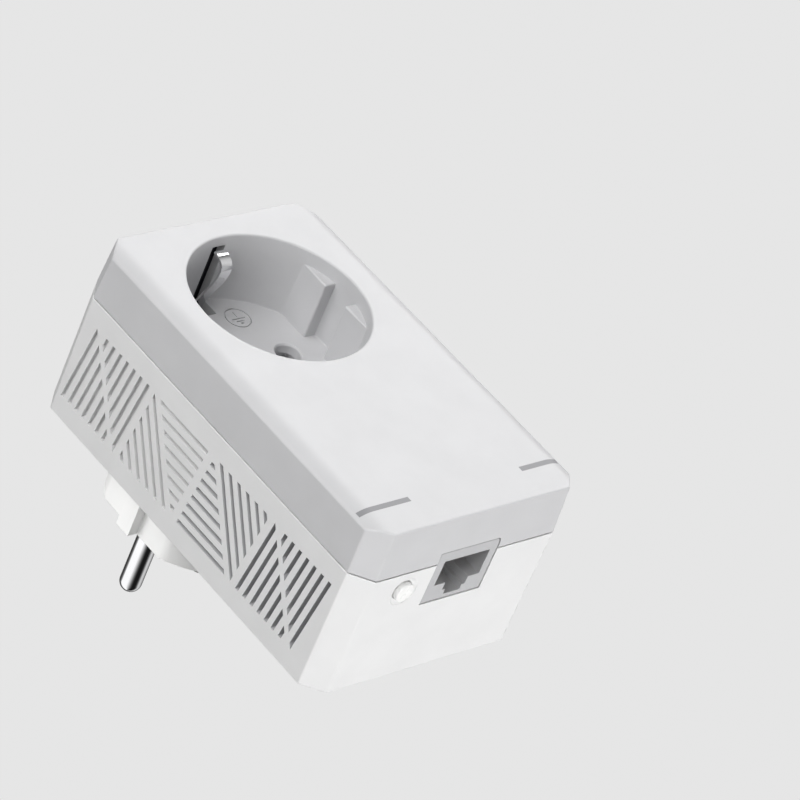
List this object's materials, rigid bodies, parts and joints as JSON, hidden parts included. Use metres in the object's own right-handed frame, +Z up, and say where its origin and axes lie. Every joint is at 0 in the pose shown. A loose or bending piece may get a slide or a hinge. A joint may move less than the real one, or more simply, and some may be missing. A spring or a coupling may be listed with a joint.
{
  "type": "powerline adapter",
  "caption": "Mains plug-in powerline network adapter with an earthed pass-through socket, a network port and a pairing button.",
  "frame": {"origin": "centre of the plug's flat end face, midway between its two pins", "axes": "+Y points out of the plug's end face into the wall, +Z is up in use, +X is right seen from the front"},
  "size_m": [0.0558, 0.0764, 0.0927],
  "materials": {
    "cover_plastic": "fine satin, light grey",
    "casing_plastic": "fine satin, white",
    "plug_plastic": "smooth, bright white",
    "port_plastic": "smooth, light grey",
    "button_plastic": "glossy white",
    "plated_contact": "polished nickel plating",
    "spring_steel": "drawn wire",
    "brass_contact": "stamped brass",
    "wire_brown": "brown insulation",
    "wire_blue": "blue insulation",
    "circuit_board": "green solder mask",
    "black_resin": "moulded black resin",
    "clear_light_pipe": "clear moulded plastic",
    "led_lens": "pale lens",
    "heat_sink_metal": "extruded",
    "crystal_can": "pressed can",
    "transformer_core": "taped ferrite",
    "capacitor_sleeve": "shrink sleeve",
    "film_capacitor": "yellow box",
    "copper_winding": "enamelled copper",
    "fuse_ceramic": "ceramic tube",
    "varistor_coating": "blue epoxy",
    "vent_sheet": "grey insulating film",
    "screw_steel": "zinc plated"
  },
  "bodies": {
    "housing": {"front_cover": "cover_plastic", "rear_casing": "casing_plastic", "plug_body": "plug_plastic", "plug_pin_line": "plated_contact", "plug_pin_neutral": "plated_contact", "plug_earth_strip_upper": "plated_contact", "plug_earth_strip_lower": "plated_contact", "plug_earth_sleeve": "brass_contact", "shutter_spring_left": "spring_steel", "shutter_spring_right": "spring_steel", "shutter_retainer": "black_resin", "earth_bridge": "plated_contact", "clip_carrier_upper": "black_resin", "clip_carrier_lower": "black_resin", "contact_sleeve_line": "brass_contact", "contact_sleeve_neutral": "brass_contact", "mains_wire_line": "wire_brown", "mains_wire_neutral": "wire_blue", "main_board": "circuit_board", "network_jack": "port_plastic", "jack_contact_1": "brass_contact", "jack_contact_2": "brass_contact", "jack_contact_3": "brass_contact", "jack_contact_4": "brass_contact", "jack_contact_5": "brass_contact", "jack_contact_6": "brass_contact", "jack_contact_7": "brass_contact", "jack_contact_8": "brass_contact", "tact_switch_body": "black_resin", "light_pipe": "clear_light_pipe", "status_led_1": "led_lens", "status_led_2": "led_lens", "status_led_3": "led_lens", "powerline_chip": "black_resin", "heat_sink": "heat_sink_metal", "network_transformer": "black_resin", "coupling_transformer": "black_resin", "memory_chip": "black_resin", "crystal": "crystal_can", "power_transformer": "transformer_core", "bulk_capacitor": "capacitor_sleeve", "output_capacitor": "capacitor_sleeve", "x_capacitor": "film_capacitor", "common_mode_choke": "copper_winding", "bridge_rectifier": "black_resin", "fuse": "fuse_ceramic", "varistor": "varistor_coating", "vent_sheet_left": "vent_sheet", "vent_sheet_right": "vent_sheet", "casing_screw_upper_left": "screw_steel", "casing_screw_upper_right": "screw_steel", "casing_screw_lower_left": "screw_steel", "casing_screw_lower_right": "screw_steel"},
    "shutter": {"socket_shutter": "cover_plastic"},
    "upper_clip": {"earth_clip_upper": "plated_contact"},
    "lower_clip": {"earth_clip_lower": "plated_contact"},
    "button": {"pair_button": "button_plastic"},
    "plunger": {"tact_switch_plunger": "black_resin"}
  },
  "joints": [
    {"name": "shutter_slide", "type": "slide", "parent": "housing", "child": "shutter", "axis": [0, 0, 1], "range_m": [0, 0.0066], "stiffness_N_per_m": 60, "springref_m": -0.006, "deforming": ["shutter_spring_left", "shutter_spring_right"]},
    {"name": "upper_clip_flex", "type": "hinge", "parent": "housing", "child": "upper_clip", "pos_m": [0, -0.0375, 0.0191], "axis": [-1, 0, 0], "range_deg": [0, 9], "stiffness_Nm_per_rad": 0.25},
    {"name": "lower_clip_flex", "type": "hinge", "parent": "housing", "child": "lower_clip", "pos_m": [0, -0.0375, -0.0191], "axis": [1, 0, 0], "range_deg": [0, 9], "stiffness_Nm_per_rad": 0.25},
    {"name": "pair_button_press", "type": "slide", "parent": "housing", "child": "button", "axis": [0, 0, 1], "range_m": [0, 0.0006], "stiffness_N_per_m": 400, "springref_m": -0.0005},
    {"name": "tact_plunger_press", "type": "slide", "parent": "housing", "child": "plunger", "axis": [0, 0, 1], "range_m": [0, 0.0005], "stiffness_N_per_m": 10, "springref_m": -0.0005}
  ],
  "couplings": [
    {"joint": "tact_plunger_press", "follows": "pair_button_press", "ratio": 0.6}
  ]
}
